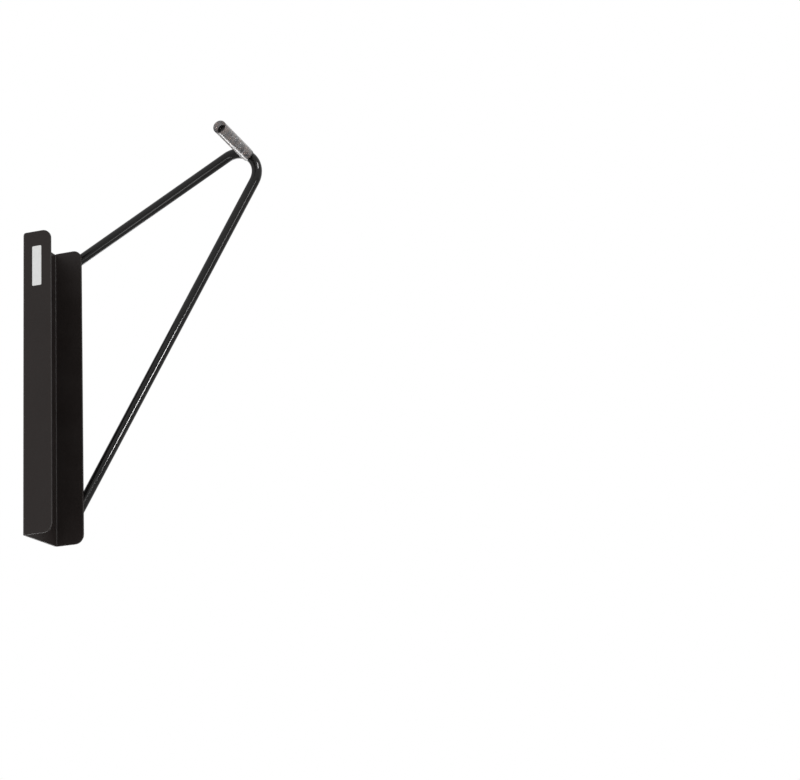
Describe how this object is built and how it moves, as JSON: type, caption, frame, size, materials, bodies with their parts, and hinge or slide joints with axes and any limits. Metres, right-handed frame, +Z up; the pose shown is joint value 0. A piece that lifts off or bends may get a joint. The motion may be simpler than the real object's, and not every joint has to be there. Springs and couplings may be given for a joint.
{
  "type": "bicycle wall rack",
  "caption": "Upright wall rack for a bicycle wheel: a folded steel tyre tray with a bent rod hook at one side, ending in a sleeved peg that carries the rim.",
  "frame": {"origin": "middle of the tray's back face, on the wall plane", "axes": "+X away from the wall, +Y across the tray towards the side that carries the hook rod, +Z up"},
  "size_m": [0.2212, 0.0791, 0.3772],
  "materials": {
    "tray_coat": "satin black powder coat on folded steel sheet",
    "rod_coat": "gloss black powder coat on round steel rod",
    "weld_coat": "gloss black powder coat over a rippled weld bead",
    "clear_vinyl": "clear flexible vinyl tube, slightly hazy",
    "label_film": "bare white vinyl sticker"
  },
  "bodies": {
    "root": {"tyre_tray": "tray_coat", "hook_rod": "rod_coat", "hook_peg": "rod_coat", "upper_arm_weld": "weld_coat", "lower_arm_weld": "weld_coat", "upper_strut_weld": "weld_coat", "lower_strut_weld": "weld_coat", "peg_weld": "weld_coat", "rim_sleeve": "clear_vinyl", "label": "label_film"}
  },
  "joints": []
}
